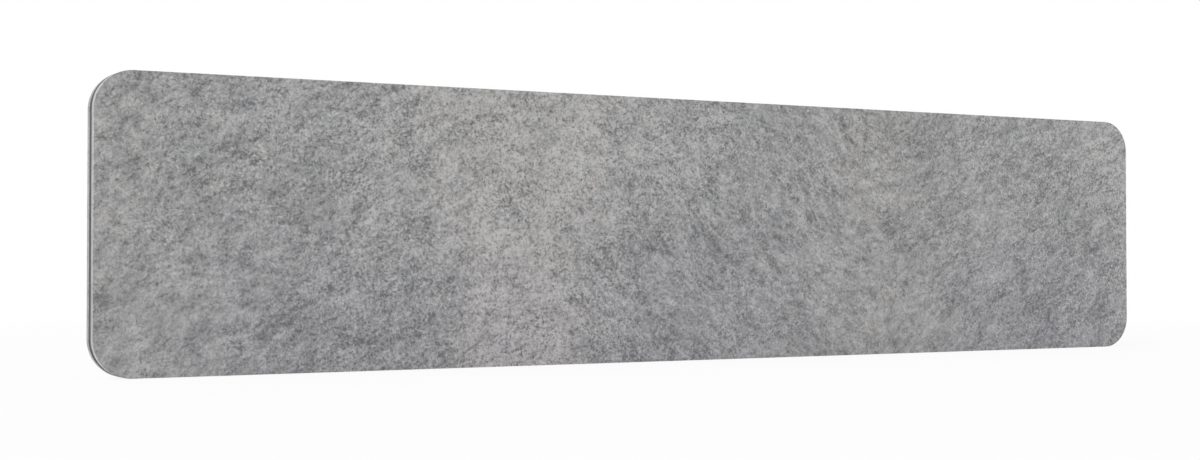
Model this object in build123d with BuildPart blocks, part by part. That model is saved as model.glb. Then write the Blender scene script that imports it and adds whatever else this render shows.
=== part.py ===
"""An acoustic divider screen: two felt boards bonded to a slim dark frame.

X runs along the screen, Y through it and Z up. The front faces -Y. The origin is on the surface
that the screen stands on, below its middle. All lengths are in millimetres.
"""

import os

from build123d import *

os.makedirs("parts", exist_ok=True)

# Driving dimensions
screen_width = 1600
screen_height = 350
corner_radius = 45
felt_thickness = 10
core_depth = 10

# Felt boards
face_arris = 0.8
back_arris = 0.5

# Frame sections: the outer wall of an edge member is thick enough to take a tapped hole
edge_reveal = 0
member_width = 24
outer_wall = 6
wall = 1.5
section_arris = 0.4

# Bonding tapes
tape_thickness = 0.3
tape_margin = 2

# Joints of the frame
fit_clearance = 0.15
tenon_length = 30
spigot_length = 26
tongue_width = 12
pocket_wall = 3
pocket_floor = 1.5

# M3 countersunk screws, with their heads flush in the frame's rear wall
screw_radius = 1.5
head_radius = 2.7
head_clearance = 0.1
hole_clearance = 0.2
thread_clearance = 0.05
tip_clearance = 0.75
drive_radius = 1.1
drive_depth = 1
head_angle = 90

# Tapped M5 holes in the bottom edge, a pair towards each end, for desk clamps or feet
bolt_radius = 2.5
bolt_spacing = 64
bolt_pair_inset = 240

# Absorber pads
pad_clearance = 0.3

# How far a cut runs past the wall that it goes through
overrun = 0.5

# Sizes that follow
frame_depth = core_depth - 2 * tape_thickness
cavity_depth = frame_depth - 2 * wall
edge_cavity = member_width - outer_wall - wall
edge_cavity_middle = outer_wall + edge_cavity / 2
middle_cavity = member_width - 2 * wall
insert_depth = cavity_depth - 2 * fit_clearance
screw_length = wall + fit_clearance + insert_depth - tip_clearance

frame_right = screen_width / 2 - edge_reveal
frame_top = screen_height - edge_reveal
frame_bottom = edge_reveal
ring_radius = corner_radius - edge_reveal
bay_radius = ring_radius - member_width
corner_x = screen_width / 2 - corner_radius
corner_top = screen_height - corner_radius
corner_bottom = corner_radius
bay_top = frame_top - member_width
bay_bottom = frame_bottom + member_width
bay_right = frame_right - member_width
middle_stile_x = screen_width / 6
bolt_pair_x = screen_width / 2 - bolt_pair_inset


def rear_plane(x, z):
    """The frame's rear face, at a screw's place."""
    return Plane((x, frame_depth / 2, z), x_dir=(1, 0, 0), z_dir=(0, 1, 0))


def layer_plane(outward, distance, z):
    """A plane across the screen that faces the front (outward -1) or the rear (outward 1)."""
    return Plane((0, outward * distance, z), x_dir=(-outward, 0, 0), z_dir=(0, outward, 0))


# Screw places: one through each tenon of the corner blocks, and two through each connector
rail_screw_x = corner_x - tenon_length / 2
rail_screw_z = {"top": frame_top - edge_cavity_middle, "bottom": frame_bottom + edge_cavity_middle}
stile_screw_x = frame_right - edge_cavity_middle
stile_screw_z = [corner_top - tenon_length / 2, corner_bottom + tenon_length / 2]
spigot_screw_z = {"top": bay_top - spigot_length / 2, "bottom": bay_bottom + spigot_length / 2}

corner_screws = [rear_plane(side * rail_screw_x, z) for side in (-1, 1) for z in rail_screw_z.values()]
corner_screws += [rear_plane(side * stile_screw_x, z) for side in (-1, 1) for z in stile_screw_z]
connector_screws = [
    rear_plane(side * middle_stile_x, z)
    for side in (-1, 1)
    for z in (*rail_screw_z.values(), *spigot_screw_z.values())
]


def felt_board(label, outward):
    """A pressed felt board, with its inner face on the core and its shown face outwards."""
    with BuildPart() as board:
        with BuildSketch(layer_plane(outward, core_depth / 2, screen_height / 2)):
            RectangleRounded(screen_width, screen_height, corner_radius)
        extrude(amount=felt_thickness)
        rims = board.edges().group_by(Axis((0, 0, 0), (0, outward, 0)))
        fillet(rims[-1], face_arris)
        fillet(rims[0], back_arris)
    board.part.label = label
    export_step(board.part, f"parts/{label}.step")


def hollow_section(plane, edge_wall):
    """A member's section: its outer edge lies on the plane's Y axis, the rest towards -X."""
    cavity = member_width - edge_wall - wall
    with BuildSketch(plane) as section:
        with Locations((-member_width / 2, 0)):
            Rectangle(member_width, frame_depth)
        fillet(section.vertices(), section_arris)
        with Locations((-edge_wall - cavity / 2, 0)):
            Rectangle(cavity, cavity_depth, mode=Mode.SUBTRACT)
    return section.sketch


def screw_holes(places):
    """Countersunk holes through a member's rear wall."""
    with Locations(*places):
        CounterSinkHole(
            screw_radius + hole_clearance,
            head_radius + head_clearance,
            depth=wall + overrun,
            counter_sink_angle=head_angle,
        )


def rail(label, edge_z, outward, screw_z, bolt_places):
    """A long edge member, with slots in its inner wall for the connectors' tongues."""
    edge = Plane((0, 0, edge_z), x_dir=(0, 0, outward), z_dir=(1, 0, 0))
    inner_face = Plane((0, 0, edge_z - outward * member_width), x_dir=(1, 0, 0), z_dir=(0, 0, outward))
    outer_face = Plane((0, 0, edge_z), x_dir=(1, 0, 0), z_dir=(0, 0, outward))
    with BuildPart() as member:
        extrude(hollow_section(edge, outer_wall), amount=corner_x, both=True)
        screw_holes(
            [rear_plane(side * x, screw_z) for side in (-1, 1) for x in (rail_screw_x, middle_stile_x)]
        )
        with BuildSketch(inner_face):
            with Locations((-middle_stile_x, 0), (middle_stile_x, 0)):
                Rectangle(tongue_width + 2 * fit_clearance, cavity_depth)
        extrude(amount=wall, mode=Mode.SUBTRACT)
        if bolt_places:
            with BuildSketch(outer_face):
                with Locations(*[(x, 0) for x in bolt_places]):
                    Circle(bolt_radius)
            extrude(amount=-outer_wall, mode=Mode.SUBTRACT)
    member.part.label = label
    export_step(member.part, f"parts/{label}.step")


def end_stile(label, side):
    """A short edge member at one end of the screen."""
    edge = Plane(
        (side * frame_right, 0, screen_height / 2), x_dir=(side, 0, 0), z_dir=(0, 0, 1)
    )
    with BuildPart() as member:
        extrude(
            hollow_section(edge, outer_wall), amount=(corner_top - corner_bottom) / 2, both=True
        )
        screw_holes([rear_plane(side * stile_screw_x, z) for z in stile_screw_z])
    member.part.label = label
    export_step(member.part, f"parts/{label}.step")


def middle_stile(label, side):
    """A plain hollow member between the rails."""
    edge = Plane(
        (side * middle_stile_x + member_width / 2, 0, screen_height / 2),
        x_dir=(1, 0, 0),
        z_dir=(0, 0, 1),
    )
    with BuildPart() as member:
        extrude(hollow_section(edge, wall), amount=(bay_top - bay_bottom) / 2, both=True)
        screw_holes([rear_plane(side * middle_stile_x, z) for z in spigot_screw_z.values()])
    member.part.label = label
    export_step(member.part, f"parts/{label}.step")


def corner_block(label, plane, screws):
    """A quarter ring with two tenons. The plane's +X and +Y point out of the screen's corner."""
    tenon_width = edge_cavity - 2 * fit_clearance
    tenon_middle = ring_radius - edge_cavity_middle
    with BuildPart() as block:
        with BuildSketch(plane):
            Circle(ring_radius)
            Circle(bay_radius, mode=Mode.SUBTRACT)
            Rectangle(
                ring_radius, ring_radius, align=(Align.MIN, Align.MIN), mode=Mode.INTERSECT
            )
        extrude(amount=frame_depth / 2, both=True)
        with BuildSketch(plane):
            with Locations((-tenon_length / 2, tenon_middle)):
                Rectangle(tenon_length, tenon_width)
            with Locations((tenon_middle, -tenon_length / 2)):
                Rectangle(tenon_width, tenon_length)
        extrude(amount=insert_depth / 2, both=True)
        # Two moulding pockets from the front, with a rib between them on the diagonal
        with BuildSketch(plane.offset(frame_depth / 2)):
            Circle(ring_radius - pocket_wall)
            Circle(bay_radius + pocket_wall, mode=Mode.SUBTRACT)
            with Locations((pocket_wall, pocket_wall)):
                Rectangle(
                    ring_radius, ring_radius, align=(Align.MIN, Align.MIN), mode=Mode.INTERSECT
                )
            Rectangle(2 * ring_radius, pocket_wall, rotation=45, mode=Mode.SUBTRACT)
        extrude(amount=pocket_floor - frame_depth, mode=Mode.SUBTRACT)
        with Locations(*screws):
            Hole(screw_radius + thread_clearance)
    block.part.label = label
    export_step(block.part, f"parts/{label}.step")


def connector(label, x, bay_edge, outward, screws):
    """A tee between a rail and a middle stile: spigot towards the bay, tongue into the rail."""
    plane = Plane((x, 0, bay_edge), x_dir=(outward, 0, 0), z_dir=(0, -1, 0))
    spigot_width = middle_cavity - 2 * fit_clearance
    tongue_length = wall + edge_cavity - fit_clearance
    with BuildPart() as tee:
        with BuildSketch(plane):
            Rectangle(spigot_width, spigot_length, align=(Align.CENTER, Align.MAX))
            Rectangle(tongue_width, tongue_length, align=(Align.CENTER, Align.MIN))
        extrude(amount=insert_depth / 2, both=True)
        with Locations(*screws):
            Hole(screw_radius + thread_clearance)
    tee.part.label = label
    export_step(tee.part, f"parts/{label}.step")


def screw_group(label, places):
    """M3 countersunk screws with a hexagon drive, one solid at each place."""
    with BuildPart() as screws:
        with Locations(*places):
            Cylinder(screw_radius, screw_length, align=(Align.CENTER, Align.CENTER, Align.MAX))
            Cone(
                screw_radius,
                head_radius,
                head_radius - screw_radius,
                align=(Align.CENTER, Align.CENTER, Align.MAX),
            )
        with BuildSketch(*places):
            RegularPolygon(drive_radius, 6)
        extrude(amount=-drive_depth, mode=Mode.SUBTRACT)
    screws.part.label = label
    export_step(screws.part, f"parts/{label}.step")


def absorber_pad(label, left, right, rounded_side):
    """A pad that fills one bay. The end bays have rounded corners beside the corner blocks."""
    width = right - left - 2 * pad_clearance
    height = bay_top - bay_bottom - 2 * pad_clearance
    middle = Plane(
        ((left + right) / 2, 0, (bay_top + bay_bottom) / 2), x_dir=(1, 0, 0), z_dir=(0, -1, 0)
    )
    with BuildPart() as pad:
        with BuildSketch(middle) as outline:
            Rectangle(width, height)
            if rounded_side:
                columns = outline.vertices().group_by(Axis.X)
                fillet(columns[0] if rounded_side < 0 else columns[-1], bay_radius - pad_clearance)
        extrude(amount=core_depth / 2 - pad_clearance, both=True)
    pad.part.label = label
    export_step(pad.part, f"parts/{label}.step")


def bonding_tapes(label, outward):
    """A strip along each member, from the frame's face out to the felt board."""
    strip_width = member_width - 2 * tape_margin
    stile_strip = corner_top - corner_bottom - 2 * tape_margin
    bay_strip = bay_top - bay_bottom - 2 * tape_margin
    rail_strip = 2 * (corner_x - tape_margin)
    across = member_width / 2
    with BuildPart() as tapes:
        with BuildSketch(layer_plane(outward, frame_depth / 2, 0)):
            with Locations((0, frame_top - across), (0, frame_bottom + across)):
                Rectangle(rail_strip, strip_width)
            with Locations(
                (across - frame_right, screen_height / 2), (frame_right - across, screen_height / 2)
            ):
                Rectangle(strip_width, stile_strip)
            with Locations((-middle_stile_x, screen_height / 2), (middle_stile_x, screen_height / 2)):
                Rectangle(strip_width, bay_strip)
        extrude(amount=tape_thickness)
    tapes.part.label = label
    export_step(tapes.part, f"parts/{label}.step")


# Felt boards, and the tapes that bond them to the frame
for name, outward in (("front", -1), ("rear", 1)):
    felt_board(f"{name}_felt_panel", outward)
    bonding_tapes(f"{name}_bonding_tapes", outward)

# Frame members
bolt_places = [
    side * bolt_pair_x + step * bolt_spacing / 2 for side in (-1, 1) for step in (-1, 1)
]
rail("top_rail", frame_top, 1, rail_screw_z["top"], [])
rail("bottom_rail", frame_bottom, -1, rail_screw_z["bottom"], bolt_places)
for name, side in (("left", -1), ("right", 1)):
    end_stile(f"{name}_stile", side)
    middle_stile(f"{name}_middle_stile", side)

# Corner blocks: the same moulding, a quarter turn further at each corner
corners = (
    ("top_right", (corner_x, 0, corner_top), (1, 0, 0)),
    ("top_left", (-corner_x, 0, corner_top), (0, 0, 1)),
    ("bottom_left", (-corner_x, 0, corner_bottom), (-1, 0, 0)),
    ("bottom_right", (corner_x, 0, corner_bottom), (0, 0, -1)),
)
for name, centre, turned in corners:
    side = 1 if centre[0] > 0 else -1
    level = "top" if centre[2] > screen_height / 2 else "bottom"
    corner_block(
        f"{name}_corner_block",
        Plane(centre, x_dir=turned, z_dir=(0, -1, 0)),
        [
            rear_plane(side * rail_screw_x, rail_screw_z[level]),
            rear_plane(side * stile_screw_x, stile_screw_z[0 if level == "top" else 1]),
        ],
    )

# Connectors between the rails and the middle stiles
for level, bay_edge, outward in (("top", bay_top, 1), ("bottom", bay_bottom, -1)):
    for name, side in (("left", -1), ("right", 1)):
        x = side * middle_stile_x
        connector(
            f"{level}_{name}_connector",
            x,
            bay_edge,
            outward,
            [rear_plane(x, rail_screw_z[level]), rear_plane(x, spigot_screw_z[level])],
        )

# Screws
screw_group("corner_screws", corner_screws)
screw_group("connector_screws", connector_screws)

# Absorber pads
stile_side = member_width / 2
absorber_pad("left_absorber_pad", -bay_right, -middle_stile_x - stile_side, -1)
absorber_pad("middle_absorber_pad", -middle_stile_x + stile_side, middle_stile_x - stile_side, 0)
absorber_pad("right_absorber_pad", middle_stile_x + stile_side, bay_right, 1)
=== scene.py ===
"""An acoustic divider screen: two pressed felt boards on a slim graphite frame.

The felt boards and the wool pads are modelled here to the boxes of their plain solids. Every other
piece keeps its solid and gets its finish here. Lengths are in metres: X runs along the screen, Y
through it with the front at -Y, and Z is up.
"""

import math

import bmesh
import bpy
import numpy as np
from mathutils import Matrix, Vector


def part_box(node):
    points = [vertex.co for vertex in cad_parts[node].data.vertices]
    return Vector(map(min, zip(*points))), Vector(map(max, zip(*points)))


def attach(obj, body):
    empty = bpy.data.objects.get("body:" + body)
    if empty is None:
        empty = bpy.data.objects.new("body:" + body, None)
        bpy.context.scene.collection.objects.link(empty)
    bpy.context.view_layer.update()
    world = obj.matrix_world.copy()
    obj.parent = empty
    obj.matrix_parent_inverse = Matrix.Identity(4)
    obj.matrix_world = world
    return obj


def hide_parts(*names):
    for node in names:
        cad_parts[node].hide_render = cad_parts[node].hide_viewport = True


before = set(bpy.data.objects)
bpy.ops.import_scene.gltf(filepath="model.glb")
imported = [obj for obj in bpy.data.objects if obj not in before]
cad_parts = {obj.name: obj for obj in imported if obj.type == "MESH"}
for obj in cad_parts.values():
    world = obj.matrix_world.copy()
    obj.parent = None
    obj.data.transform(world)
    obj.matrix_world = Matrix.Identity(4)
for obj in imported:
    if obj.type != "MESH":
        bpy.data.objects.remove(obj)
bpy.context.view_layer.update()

MM = 0.001
QUARTER_TURN = math.pi / 2

# Sizes from the frame: a rail ends where the screen's corners begin, and a pad's corner has the
# same centre as the screen's
HALF_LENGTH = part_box("front_felt_panel")[1].x
HALF_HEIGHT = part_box("front_felt_panel")[1].z / 2
CORNER_RADIUS = HALF_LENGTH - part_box("top_rail")[1].x
PAD_CORNER_RADIUS = CORNER_RADIUS - (HALF_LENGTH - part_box("right_absorber_pad")[1].x)


# Shader sums

class Wire:
    """A node's output that can be used in sums, such as 1 - mask or tone * 0.4."""

    def __init__(self, nodes, socket):
        self.nodes = nodes
        self.socket = socket

    def sum(self, operation, *values):
        settings = {"operation": operation}
        return self.nodes.node("ShaderNodeMath", settings, dict(enumerate(values)))

    def __add__(self, other):
        return self.sum("ADD", self, other)

    def __radd__(self, other):
        return self.sum("ADD", other, self)

    def __sub__(self, other):
        return self.sum("SUBTRACT", self, other)

    def __rsub__(self, other):
        return self.sum("SUBTRACT", other, self)

    def __mul__(self, other):
        return self.sum("MULTIPLY", self, other)

    def __rmul__(self, other):
        return self.sum("MULTIPLY", other, self)

    def __abs__(self):
        return self.sum("ABSOLUTE", self)

    def cosine(self):
        return self.sum("COSINE", self)

    def root(self):
        return self.sum("SQRT", self)

    def larger(self, other):
        return self.sum("MAXIMUM", self, other)

    def step(self, low, high):
        """0 below low, 1 above high and a smooth rise between. It falls if low is above high."""
        settings = {"interpolation_type": "SMOOTHSTEP", "clamp": True}
        values = {0: self, 1: min(low, high), 2: max(low, high)}
        values[3], values[4] = (0.0, 1.0) if low < high else (1.0, 0.0)
        return self.nodes.node("ShaderNodeMapRange", settings, values)


class Nodes:
    """The nodes of a material or of the surroundings."""

    def __init__(self, tree):
        self.tree = tree

    def link(self, socket, value):
        if isinstance(value, Wire):
            self.tree.links.new(value.socket, socket)
        elif socket.type == "VECTOR":
            socket.default_value = value[:3]
        else:
            socket.default_value = value

    def node(self, kind, settings=None, values=None, output=0):
        """Adds a node: its settings first, then the values or wires of its sockets."""
        made = self.tree.nodes.new(kind)
        for key, value in (settings or {}).items():
            setattr(made, key, value)
        for key, value in (values or {}).items():
            self.link(made.inputs[key], value)
        return Wire(self, made.outputs[output])


class Paint(Nodes):
    """A material under construction: one Principled shader and the nodes that feed it."""

    def __init__(self, name, constants=None):
        self.material = bpy.data.materials.new(name)
        self.material.use_nodes = True
        super().__init__(self.material.node_tree)
        self.shader = self.tree.nodes["Principled BSDF"]
        for socket, value in (constants or {}).items():
            self.shader.inputs[socket].default_value = value

    def place(self):
        """A point's place on the object, in metres."""
        return self.node("ShaderNodeTexCoord", output="Object")

    def axes(self, place):
        """A place's three coordinates."""
        split = self.node("ShaderNodeSeparateXYZ", values={0: place}, output="X")
        outputs = split.socket.node.outputs
        return split, Wire(self, outputs["Y"]), Wire(self, outputs["Z"])

    def noise(self, place, size, seed, detail=2.0, roughness=0.5, output="Fac"):
        """Soft noise with lumps about size across, or with a size for each axis."""
        if isinstance(size, tuple):
            settings = {"vector_type": "TEXTURE"}
            place = self.node("ShaderNodeMapping", settings, {"Vector": place, "Scale": size})
            size = 1.0
        values = {"Vector": place, "W": seed, "Scale": 1 / size, "Detail": detail}
        values["Roughness"] = roughness
        return self.node("ShaderNodeTexNoise", {"noise_dimensions": "4D"}, values, output)

    def uneven(self, place, size, seed, detail=2.0, roughness=0.5):
        """Soft noise about 0."""
        return self.noise(place, size, seed, detail, roughness) - 0.5

    def hairs(self, place, size, seed, width=0.05):
        """Thin winding lines, where soft noise passes its middle value."""
        return abs(self.uneven(place, size, seed)).step(width, 0.0)

    def bent(self, place, size, reach, seed):
        """The place, moved by soft noise so that patterns on it wander."""
        wander = self.tint(self.noise(place, size, seed, output="Color"), reach)
        return self.node("ShaderNodeVectorMath", {"operation": "ADD"}, {0: place, 1: wander})

    def mix(self, share, first, second, blend="MIX"):
        """A colour between first and second."""
        settings = {"data_type": "RGBA", "blend_type": blend}
        return self.node("ShaderNodeMix", settings, {0: share, 6: first, 7: second}, output=2)

    def tint(self, colour, level):
        """The colour or place, its three numbers multiplied alike by level."""
        values = {0: colour, "Scale": level}
        return self.node("ShaderNodeVectorMath", {"operation": "SCALE"}, values)

    def bump(self, height, distance, strength):
        values = {"Height": height, "Distance": distance, "Strength": strength}
        self.feed("Normal", self.node("ShaderNodeBump", values=values))

    def feed(self, socket, value):
        self.link(self.shader.inputs[socket], value)


def grey(level, warmth=0.0):
    """A near-neutral colour: warmth above 0 is redder, below 0 bluer."""
    return (level * (1 + warmth), level, level * (1 - warmth), 1.0)


# Felt

# Two shades of fibre, and the share of the pale one where nothing changes it
PALE_FIBRE = grey(0.50, 0.011)
DARK_FIBRE = grey(0.12, -0.03)
PALE_SHARE = 0.499

# Casts, by which the grey of the fibres is multiplied
PLAIN = (0.995, 0.998, 1.003, 1.0)
VIOLET = (0.987, 0.984, 1.022, 1.0)
WARM = (1.009, 0.996, 0.990, 1.0)
ROSY = (1.008, 0.980, 1.004, 1.0)
BEIGE = (1.012, 1.002, 0.984, 1.0)
COOL_FLECK = (0.987, 1.0, 1.013, 1.0)
WARM_FLECK = (1.013, 1.0, 0.987, 1.0)

# The carding changes its slope at two places along the screen
FIRST_TURN = -0.26
SECOND_TURN = 0.31
TURN_ROUNDING = 0.003
CARDING_SLOPE = 0.38

# The upper part has a darker patch near the left end
PATCH_MIDDLE = -0.72

# Bands in which the felt changes, each from where its change begins to where it is full.
# Along the screen:
LEFT_END = (-0.6, -0.78)
RIGHT_END = (0.66, 0.8)

# To either side of a turn, or of the middle of the patch:
FIRST_DRIFT = (0.165, 0.07)
SECOND_DRIFT = (0.24, 0.04)
BEIGE_DRIFT = (0.12, 0.0)
PATCH = (0.1, 0.02)

# Up from the bottom edge:
LOWER_PART = (0.26, 0.04)
NARROWED_PART = (0.18, 0.08)
BEIGE_PART = (0.12, 0.32)

# Out from the middle of the screen, towards its ends and towards its upper and lower rims, where
# the front board's cut edge gets a painted highlight round the corners:
CORNER_HIGHLIGHT_ENDS = (HALF_LENGTH - 55 * MM, HALF_LENGTH - 25 * MM)
CORNER_HIGHLIGHT_RIMS = (HALF_HEIGHT - 50 * MM, HALF_HEIGHT - 30 * MM)


def rounded(past):
    """The distance from a turn: the root of its square and a small part, which rounds the turn."""
    return (past * past + TURN_ROUNDING).root()


def felt_clumps(paint, carded):
    """Uneven tone of the rolls and tufts of fibre, which lie along the carding."""
    rolls = paint.uneven(carded, (26 * MM, 17 * MM, 17 * MM), 3, detail=3.0, roughness=0.6)
    tufts = paint.uneven(carded, (10 * MM, 7.5 * MM, 7.5 * MM), 8, roughness=0.6)
    return rolls * 1.34 + tufts * 1.18


def felt_strands(paint, place, carded):
    """Strands drawn out along the carding, here and there."""
    strands = paint.hairs(carded, (38 * MM, 12 * MM, 12 * MM), 14)
    return strands * paint.noise(place, 55 * MM, 15, detail=1.0).step(0.46, 0.6)


def felt_fibres(paint, bent, curled, strength):
    """Uneven tone of the fibres: curls, grain, and pale hairs less dark ones in three sizes.

    The strongest fibres stand out further, and the dark ones more than the pale ones.
    """
    curls = paint.uneven(curled, 4 * MM, 9, roughness=0.6)
    grain = paint.uneven(bent, 2.7 * MM, 5, detail=1.0)
    hairs = paint.hairs(curled, 7 * MM, 31, 0.03) - paint.hairs(curled, 9 * MM, 32, 0.03)
    wisps = paint.hairs(curled, 3.2 * MM, 33) - paint.hairs(bent, 2.4 * MM, 34)
    lint = paint.hairs(curled, 1.6 * MM, 35) - paint.hairs(bent, 1.2 * MM, 36)
    fibres = curls * 1.64 + grain * 1.02 + hairs * 0.22 + wisps * 0.17
    fibres = fibres * strength
    return fibres * (0.85 + fibres * fibres * 2) - abs(fibres) * 0.12 + lint * 0.16


def cut_edge(paint, place, bent):
    """Where the cut edge is, the layers of fibre that show there, and how pale it is.

    On the front board it is paler than the face, and palest round the corners by a painted
    highlight. On the rear board painted shade makes it a little darker.
    """
    along, depth, height = paint.axes(place)
    rear = depth.step(-1 * MM, 1 * MM)
    # The corners of the front board's cut edge get a painted highlight
    corner = abs(along).step(*CORNER_HIGHLIGHT_ENDS) * abs(height - HALF_HEIGHT).step(*CORNER_HIGHLIGHT_RIMS)
    mark = paint.node("ShaderNodeAttribute", {"attribute_name": "cut_edge"}, output="Fac")
    layers = paint.uneven(bent, (6 * MM, 0.6 * MM, 6 * MM), 12, roughness=0.6)
    # The front board's cut edge is paler felt than the face, plus the painted highlight round the
    # corners; the rear board's cut edge is darkened by painted shade
    tone = (1 - rear) * (0.04 + corner * 0.16) - rear * 0.04 + layers * 0.6
    return mark.step(0.2, 0.8), layers, tone


def felt():
    """Pressed melange felt: pale and dark fibres in clumps, mixed unevenly over the board."""
    paint = Paint("melange_felt", {"Sheen Weight": 0.35, "Sheen Roughness": 0.4})
    place = paint.place()
    bent = paint.bent(place, 26 * MM, 10 * MM, 21)
    curled = paint.bent(bent, 5 * MM, 5 * MM, 23)
    x, y, z = paint.axes(bent)

    # The carding rises to the right, falls past the first turn and rises past the second
    wander = x + paint.uneven(place, 200 * MM, 22, detail=1.0) * (150 * MM)
    first, second = wander - FIRST_TURN, wander - SECOND_TURN
    rise = (x - rounded(first) + rounded(second)) * CARDING_SLOPE
    carded = paint.node("ShaderNodeCombineXYZ", values={0: x, 1: y, 2: z - rise})

    # A paler, warmer drift runs down the board at each turn. The first is the stronger one, and
    # narrows near the bottom
    narrowing = z.step(*NARROWED_PART) * 0.85 + 1
    drift = (abs(first) * narrowing).step(*FIRST_DRIFT)

    # Away from the drifts and from the left end, the lower part is darker and a little violet.
    # Near the left end the upper part is darker too. The right end is paler
    lower = z.step(*LOWER_PART)
    calm = drift * 0.9 + (abs(second).step(*SECOND_DRIFT) + wander.step(*LEFT_END)) * 0.8
    shaded = lower * (1 - calm)
    patch = abs(wander - PATCH_MIDDLE).step(*PATCH) * (1 - lower)

    # The fibres are crispest at the first turn, and softest at the second in the lower part
    crisp = (first * (math.pi / (SECOND_TURN - FIRST_TURN))).cosine()
    turning = crisp * crisp
    strength = 1.03 + crisp * 0.14 + paint.uneven(place, 45 * MM, 6) * 1.15
    fibres = felt_fibres(paint, bent, curled, strength - lower * (1 - crisp) * 0.09)
    clumps = felt_clumps(paint, carded)
    cut, layers, edge_tone_with_painted_light = cut_edge(paint, place, bent)

    tone = drift * (0.115 + lower * 0.035) + turning * 0.02 - shaded * 0.08
    tone = tone + paint.uneven(place, 250 * MM, 7) * 0.5
    tone = tone - felt_strands(paint, place, carded) * 0.12
    tone = tone + wander.step(*RIGHT_END) * 0.05 - patch * 0.065
    grain = (clumps + fibres) * 0.8 * (1 - cut * 0.5)
    # The cut edge's tone holds painted light: a highlight round the front corners, shade on the
    # rear
    colour = paint.mix(PALE_SHARE + tone + grain + cut * edge_tone_with_painted_light, DARK_FIBRE, PALE_FIBRE)

    # The lower part is also rosy, in the first drift and in clouds, and the upper part is beige
    # at the second turn
    rosy = drift * 0.8 + paint.noise(place, 110 * MM, 11).step(0.5, 0.7) * 0.4
    beige = abs(second).step(*BEIGE_DRIFT) * z.step(*BEIGE_PART)
    cast = paint.mix(shaded, PLAIN, VIOLET)
    cast = paint.mix(drift * 0.5 + turning * turning * 0.6, cast, WARM)
    cast = paint.mix(rosy * lower, cast, ROSY)
    cast = paint.mix(beige * 0.8, cast, BEIGE)
    colour = paint.mix(1.0, colour, cast, "MULTIPLY")

    # Warm and cool fibres lie in flecks of their own
    flecks = paint.noise(bent, 15 * MM, 41, detail=3.0, roughness=0.7).step(0.35, 0.65)
    colour = paint.mix(1.0, colour, paint.mix(flecks, COOL_FLECK, WARM_FLECK), "MULTIPLY")

    paint.feed("Base Color", colour)
    paint.feed("Roughness", 0.9 + fibres * 0.2)
    paint.bump(clumps * 0.35 + fibres * 0.6 + cut * layers, 0.35 * MM, 0.8)
    return paint.material


# Wool, aluminium, nylon, steel and foam

GRAPHITE_METAL = grey(0.05, -0.02)
GRAPHITE_NYLON = grey(0.05, -0.015)

# The draw lines on a member: how far one runs, and how wide it is
DRAW_LENGTH = 60 * MM
DRAW_WIDTH = 0.3 * MM

FOAM_CELL = 0.6 * MM


def wool():
    """Polyester wool: matted pale hairs that wind in every direction, in loose whorls."""
    paint = Paint("polyester_wool", {"Sheen Weight": 0.3, "Sheen Roughness": 0.6})
    curled = paint.bent(paint.place(), 16 * MM, 12 * MM, 5)
    whorls = paint.noise(curled, 26 * MM, 1, detail=3.0, roughness=0.6)
    coarse = paint.hairs(curled, 8 * MM, 2, 0.03) + paint.hairs(curled, 6 * MM, 3, 0.035)
    fine = paint.hairs(curled, 3.5 * MM, 4) + paint.hairs(curled, 2.6 * MM, 6)
    fluff = paint.noise(curled, 1.2 * MM, 7, roughness=0.6)
    colour = paint.mix(whorls.step(0.3, 0.7), grey(0.60, 0.015), grey(0.68, 0.01))
    paint.feed("Base Color", paint.tint(colour, 0.8 + coarse * 0.1 + fine * 0.09 + fluff * 0.14))
    paint.feed("Roughness", 0.86 + fluff * 0.14)
    paint.bump(whorls * 0.5 + coarse * 0.16 + fine * 0.12 + fluff * 0.3, 0.6 * MM, 0.9)
    return paint.material


def anodised(name, line_size):
    """Graphite anodised aluminium, with fine draw lines along the member."""
    paint = Paint(name, {"Specular IOR Level": 0.25})
    place = paint.place()
    lines = paint.noise(place, line_size, 1, detail=3.0, roughness=0.6)
    smudges = paint.noise(place, 30 * MM, 2, detail=3.0)
    paint.feed("Base Color", paint.tint(GRAPHITE_METAL, 0.7 + lines * 0.45 + smudges * 0.15))
    paint.feed("Roughness", 0.52 + lines * 0.16 + smudges * 0.12)
    paint.bump(lines, 0.03 * MM, 0.6)
    return paint.material


def nylon():
    """Graphite moulded nylon with a fine spark-eroded grain."""
    paint = Paint("graphite_nylon", {"Specular IOR Level": 0.25})
    place = paint.place()
    grain = paint.noise(place, 0.8 * MM, 1, roughness=0.6)
    flow = paint.noise(place, 18 * MM, 2)
    paint.feed("Base Color", paint.tint(GRAPHITE_NYLON, 0.72 + grain * 0.4 + flow * 0.16))
    paint.feed("Roughness", 0.58 + grain * 0.2)
    paint.bump(grain, 0.12 * MM, 0.7)
    return paint.material


def zinc():
    """Zinc-plated steel with a faint turned grain."""
    paint = Paint("zinc_plated_steel", {"Metallic": 1.0})
    place = paint.place()
    turned = paint.noise(place, (0.3 * MM, 3 * MM, 0.3 * MM), 1, roughness=0.6)
    bloom = paint.noise(place, 2.5 * MM, 2, detail=3.0, roughness=0.6)
    paint.feed("Base Color", paint.mix(bloom.step(0.4, 0.7), grey(0.62, 0.01), grey(0.5, -0.03)))
    paint.feed("Roughness", 0.28 + turned * 0.12 + bloom * 0.1)
    paint.bump(turned, 0.02 * MM, 0.5)
    return paint.material


def foam():
    """White foam tape: fine closed cells."""
    paint = Paint("foam_tape")
    place = paint.place()
    values = {"Vector": place, "Scale": 1 / FOAM_CELL}
    cells = paint.node("ShaderNodeTexVoronoi", {"feature": "F1"}, values)
    stain = paint.noise(place, 12 * MM, 1)
    paint.feed("Base Color", paint.mix(stain.step(0.3, 0.7), grey(0.62, 0.01), grey(0.7, 0.015)))
    paint.feed("Roughness", 0.6 + cells * 0.25)
    paint.bump(cells, 0.1 * MM, 0.5)
    return paint.material


# Surfaces

MERGE_DISTANCE = 0.001 * MM


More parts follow.
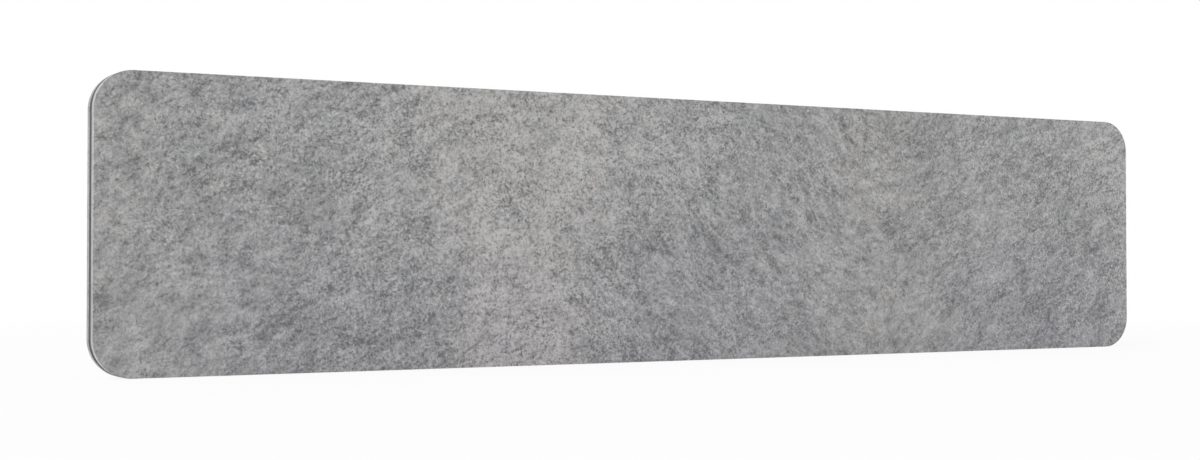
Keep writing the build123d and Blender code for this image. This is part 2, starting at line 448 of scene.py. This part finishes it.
def ripple(points, seed, wavelengths, height):
    """Uneven height at each point: the mean of sine waves, each with its own way and phase."""
    draw = np.random.default_rng(seed)
    total = np.zeros(len(points))
    for wavelength in wavelengths:
        direction = draw.normal(size=3)
        direction *= 2 * math.pi / wavelength / np.linalg.norm(direction)
        total += np.sin(points @ direction + draw.uniform(0, 2 * math.pi))
    return total * height / len(wavelengths)


def outline(width, depth, radius, spacing, arc_steps):
    """Core points and outward normals round a rounded rectangle.

    An outline point inset by d lies at core + (radius - d) * normal. Each corner's core point stays
    while its normal turns a quarter, then the core point runs on to the next corner's.
    """
    cores = []
    normals = []
    half = np.array([width / 2 - radius, depth / 2 - radius])
    corners = np.array([[1, 1], [-1, 1], [-1, -1], [1, -1]]) * half
    for quarter in range(4):
        here, there = corners[quarter], corners[(quarter + 1) % 4]
        turn = (quarter + np.arange(arc_steps) / arc_steps) * QUARTER_TURN
        cores.append(np.tile(here, (arc_steps, 1)))
        normals.append(np.stack([np.cos(turn), np.sin(turn)], axis=1))
        steps = max(1, math.ceil(np.linalg.norm(there - here) / spacing))
        share = (np.arange(steps) / steps)[:, None]
        end = (quarter + 1) * QUARTER_TURN
        cores.append(here + (there - here) * share)
        normals.append(np.tile([math.cos(end), math.sin(end)], (steps, 1)))
    return np.concatenate(cores), np.concatenate(normals)


def slab(size, radius, insets, heights, spacing, arc_steps):
    """A closed slab as rings: the profile (inset, height) carried round a rounded rectangle.

    An inset beyond the corner radius clips the core rectangle instead, down to the line in the
    slab's middle where the last ring closes on itself. Rows are (across, out, up) from the centre.
    """
    width, depth = size
    cores, normals = outline(width, depth, radius, spacing, arc_steps)
    beyond = np.maximum(insets - radius, 0)[:, None, None]
    half = np.array([width, depth]) / 2 - radius - beyond
    flat = np.clip(cores[None], -half, half)
    flat = flat + normals[None] * np.maximum(radius - insets, 0)[:, None, None]
    out = np.repeat(heights[:, None], len(cores), axis=1)
    return np.stack([flat[..., 0], out, flat[..., 1]], axis=-1), normals


def ring_faces(rings, around):
    """Quads between neighbouring rings, each ring closed on itself."""
    start = np.arange(rings - 1)[:, None] * around
    here = np.arange(around)[None]
    there = (here + 1) % around
    corners = [start + here, start + here + around, start + there + around, start + there]
    return np.stack(corners, axis=-1).reshape(-1, 4)


def piece(name, points, faces, material, replaced, marks=None):
    """A closed smooth mesh in place, facing outwards, that rides on the object in a node's stead.

    Marks are values per point, such as how far a point is on the cut edge.
    """
    mesh = bpy.data.meshes.new(name)
    mesh.from_pydata(points, [], faces)
    for mark, values in (marks or {}).items():
        mesh.attributes.new(mark, "FLOAT", "POINT").data.foreach_set("value", values)
    work = bmesh.new()
    work.from_mesh(mesh)
    bmesh.ops.remove_doubles(work, verts=work.verts, dist=MERGE_DISTANCE)
    bmesh.ops.recalc_face_normals(work, faces=work.faces)
    work.to_mesh(mesh)
    work.free()
    mesh.shade_smooth()
    mesh.materials.append(material)
    made = bpy.data.objects.new(name, mesh)
    bpy.context.scene.collection.objects.link(made)
    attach(made, "root")
    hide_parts(replaced)
    return made


# Felt boards

FACE_ARRIS = 0.5 * MM
BACK_ARRIS = 0.5 * MM
ARRIS_RINGS = 6
EDGE_RINGS = 7
BACK_RINGS = 6

# On the shown face the rings keep their spacing, and close up beside the arris
BOARD_SPACING = 4 * MM
BOARD_ARC_STEPS = 26
BESIDE_ARRIS = np.array([6, 4.2, 3, 2]) * MM

RIPPLE_SEED = 5
RIPPLE_HEIGHT = 0.12 * MM
RIPPLE_WAVELENGTHS = np.geomspace(11, 160, 14) * MM


def board_profile(thickness, reach):
    """Inset and height from the middle of the shown face, over the edge, to the hidden face.

    The edge is straight, with a quarter round at each arris.
    """
    turn = np.linspace(0, QUARTER_TURN, ARRIS_RINGS)
    face = np.concatenate([np.arange(reach, BESIDE_ARRIS[0], -BOARD_SPACING), BESIDE_ARRIS])
    arris_in = FACE_ARRIS * (1 - np.sin(turn))
    arris_up = thickness - FACE_ARRIS * (1 - np.cos(turn))
    side = np.linspace(thickness - FACE_ARRIS, BACK_ARRIS, EDGE_RINGS)[1:-1]
    back_in = BACK_ARRIS * (1 - np.cos(turn[::2]))
    back_up = BACK_ARRIS * (1 - np.sin(turn[::2]))
    hidden = np.linspace(BACK_ARRIS, reach, BACK_RINGS)[1:]
    insets = np.concatenate([face, arris_in, side * 0, back_in, hidden])
    heights = np.concatenate([face * 0 + thickness, arris_up, side, back_up, hidden * 0])
    return insets, heights


def felt_board(node, outward, material):
    """A felt board: its profile carried round the outline, then eased by shallow ripples."""
    low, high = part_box(node)
    middle = (low + high) / 2
    width, thickness, height = high - low
    insets, heights = board_profile(thickness, height / 2)
    size = (width, height)
    rings, normals = slab(size, CORNER_RADIUS, insets, heights, BOARD_SPACING, BOARD_ARC_STEPS)

    # The surface's own normal turns from out of the face to out of the edge
    lean = np.clip((thickness - heights) / FACE_ARRIS, 0, 1) * (insets <= FACE_ARRIS)
    shown = (heights > BACK_ARRIS)[:, None]
    across = normals[None] * np.sin(lean * QUARTER_TURN)[:, None, None]
    out = np.cos(lean * QUARTER_TURN)[:, None] * shown + np.zeros(len(normals))
    ways = np.stack([across[..., 0] * shown, out, across[..., 1] * shown], axis=-1)

    # Half the ripples' height is taken off, so that the felt keeps about to its box
    waves = ripple(rings.reshape(-1, 3), RIPPLE_SEED, RIPPLE_WAVELENGTHS, RIPPLE_HEIGHT)
    rings = rings + ways * (waves.reshape(rings.shape[:2])[..., None] - RIPPLE_HEIGHT / 2)

    points = rings.reshape(-1, 3) * np.array([1, outward, 1])
    inner_face = low.y if outward > 0 else high.y
    points += np.array([middle.x, inner_face, middle.z])
    return piece(
        node.replace("panel", "board"),
        points,
        ring_faces(len(insets), len(normals)),
        material,
        node,
        {"cut_edge": np.repeat(lean, len(normals)).astype(np.float32)},
    )


# Wool pads

PAD_EDGE = 7 * MM
PAD_EDGE_RINGS = 8
PAD_FACE_RINGS = 17
PAD_SPACING = 8 * MM
PAD_ARC_STEPS = 8

LUMP_SHARE = 0.07
LUMP_WAVELENGTHS = np.geomspace(18, 90, 10) * MM


def pad_profile(thickness, reach):
    """A batt's section, from the middle of one face over the edge to the middle of the other.

    Each face is flat and falls to the edge in a quarter round.
    """
    turn = np.linspace(QUARTER_TURN, 0, PAD_EDGE_RINGS)
    flat = np.linspace(reach, PAD_EDGE, PAD_FACE_RINGS, endpoint=False)
    insets = np.concatenate([flat, PAD_EDGE * (1 - np.cos(turn))])
    heights = np.concatenate([flat * 0 + thickness / 2, thickness / 2 * np.sin(turn)])
    insets = np.concatenate([insets, insets[-2::-1]])
    heights = np.concatenate([heights, -heights[-2::-1]])
    return insets, heights


def wool_pad(node, seed, material):
    """A wool batt that fills its bay: a rounded slab whose thickness is lumpy."""
    low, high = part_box(node)
    middle = (low + high) / 2
    width, thickness, height = high - low
    insets, heights = pad_profile(thickness, height / 2)
    size = (width, height)
    rings, normals = slab(size, PAD_CORNER_RADIUS, insets, heights, PAD_SPACING, PAD_ARC_STEPS)
    lumps = ripple(rings.reshape(-1, 3), seed, LUMP_WAVELENGTHS, LUMP_SHARE)
    rings[..., 1] *= 1 - LUMP_SHARE + lumps.reshape(rings.shape[:2])
    made = piece(
        node.replace("absorber", "wool"),
        rings.reshape(-1, 3) + np.array(middle),
        ring_faces(len(insets), len(normals)),
        material,
        node,
    )


# Floor, light and camera

FLOOR_REACH = 12.0
FLOOR_LEVEL = -0.2 * MM

# How much of the floor's own shade shows near the screen, and from where to where that fades out
SHADE_SHARE = 0.12
SHADE_FADES = (1.2, 2.6)

# The view that the photograph has
EYE = (-1.26234, -1.99252, 0.13271)
YAW = math.radians(29.384)
PITCH = math.radians(1.032)
ROLL = math.radians(0.014)
FOCAL_PIXELS = 1742.0
IMAGE_WIDTH_PIXELS = 1200
SENSOR_WIDTH_MM = 36.0


def floor():
    """A pale floor that shows white away from the screen and keeps the screen's soft shadow."""
    finish = {"Base Color": grey(0.8), "Roughness": 1.0, "Specular IOR Level": 0.0}
    paint = Paint("pale_floor", finish)
    length = {"operation": "LENGTH"}
    away = paint.node("ShaderNodeVectorMath", length, {0: paint.place()}, output="Value")
    seen = paint.node("ShaderNodeLightPath", output="Is Camera Ray")
    white = seen * (1 - SHADE_SHARE + SHADE_SHARE * away.step(*SHADE_FADES))
    glow = paint.node("ShaderNodeEmission", values={"Color": grey(1.0), "Strength": 1.0})
    lit = Wire(paint, paint.shader.outputs[0])
    mixed = paint.node("ShaderNodeMixShader", values={0: white, 1: lit, 2: glow})
    paint.link(paint.tree.nodes["Material Output"].inputs["Surface"], mixed)

    mesh = bpy.data.meshes.new("floor")
    corners = np.array([[-1, -1, 0], [1, -1, 0], [1, 1, 0], [-1, 1, 0]]) * FLOOR_REACH
    mesh.from_pydata(corners + np.array([0, 0, FLOOR_LEVEL]), [], [(0, 1, 2, 3)])
    mesh.materials.append(paint.material)
    made = bpy.data.objects.new("floor", mesh)
    bpy.context.scene.collection.objects.link(made)


def surroundings(level):
    """An even pale room of a given level: white where the camera or a reflection sees it."""
    world = bpy.data.worlds.new("pale_room")
    bpy.context.scene.world = world
    world.use_nodes = True
    room = Nodes(world.node_tree)
    seen = room.node("ShaderNodeLightPath", output="Is Camera Ray")
    reflected = room.node("ShaderNodeLightPath", output="Is Glossy Ray")
    background = room.tree.nodes["Background"]
    room.link(background.inputs["Color"], grey(1.0))
    room.link(background.inputs["Strength"], level + seen.larger(reflected) * (1 - level))


def soft_sun(name, source, level, spread):
    """Even soft light from the direction of source. Level 1 lights a facing surface as written."""
    lamp = bpy.data.lights.new(name, "SUN")
    lamp.energy = level * math.pi
    lamp.angle = math.radians(spread)
    made = bpy.data.objects.new(name, lamp)
    bpy.context.scene.collection.objects.link(made)
    x, y, z = -np.array(source, float)
    tilt = math.atan2(math.hypot(x, y), -z)
    turn = math.atan2(y, x) - QUARTER_TURN
    made.rotation_euler = (tilt, 0, turn)


def camera():
    """The camera at the front left of the screen, a little below its mid height."""
    lens = bpy.data.cameras.new("camera")
    lens.sensor_width = SENSOR_WIDTH_MM
    lens.lens = FOCAL_PIXELS / IMAGE_WIDTH_PIXELS * SENSOR_WIDTH_MM
    made = bpy.data.objects.new("camera", lens)
    bpy.context.scene.collection.objects.link(made)
    made.location = EYE
    made.rotation_euler = (QUARTER_TURN + PITCH, ROLL, -YAW)
    bpy.context.scene.camera = made


# Making

felt_material = felt()
felt_board("front_felt_panel", -1, felt_material)
felt_board("rear_felt_panel", 1, felt_material)
wool_material = wool()
for seed, bay in enumerate(("left", "middle", "right")):
    wool_pad(f"{bay}_absorber_pad", seed, wool_material)

# Each other node gets the finish that goes by the last word of its name
finishes = {
    "rail": anodised("graphite_anodised_rail", (DRAW_LENGTH, DRAW_WIDTH, DRAW_WIDTH)),
    "stile": anodised("graphite_anodised_stile", (DRAW_WIDTH, DRAW_WIDTH, DRAW_LENGTH)),
    "block": nylon(),
    "screws": zinc(),
    "tapes": foam(),
}
finishes["connector"] = finishes["block"]
for name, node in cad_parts.items():
    kind = name.split("_")[-1]
    if kind in finishes:
        node.data.materials.clear()
        node.data.materials.append(finishes[kind])

floor()
surroundings(level=0.38)
soft_sun("upper_left_light", source=(-0.75, -0.17, 0.55), level=0.86, spread=60)
soft_sun("front_light", source=(0.4, -1.0, 0.35), level=0.28, spread=80)
soft_sun("rear_light", source=(0.3, 1.0, 0.45), level=0.3, spread=80)
camera()
bpy.context.scene.view_settings.view_transform = "Standard"
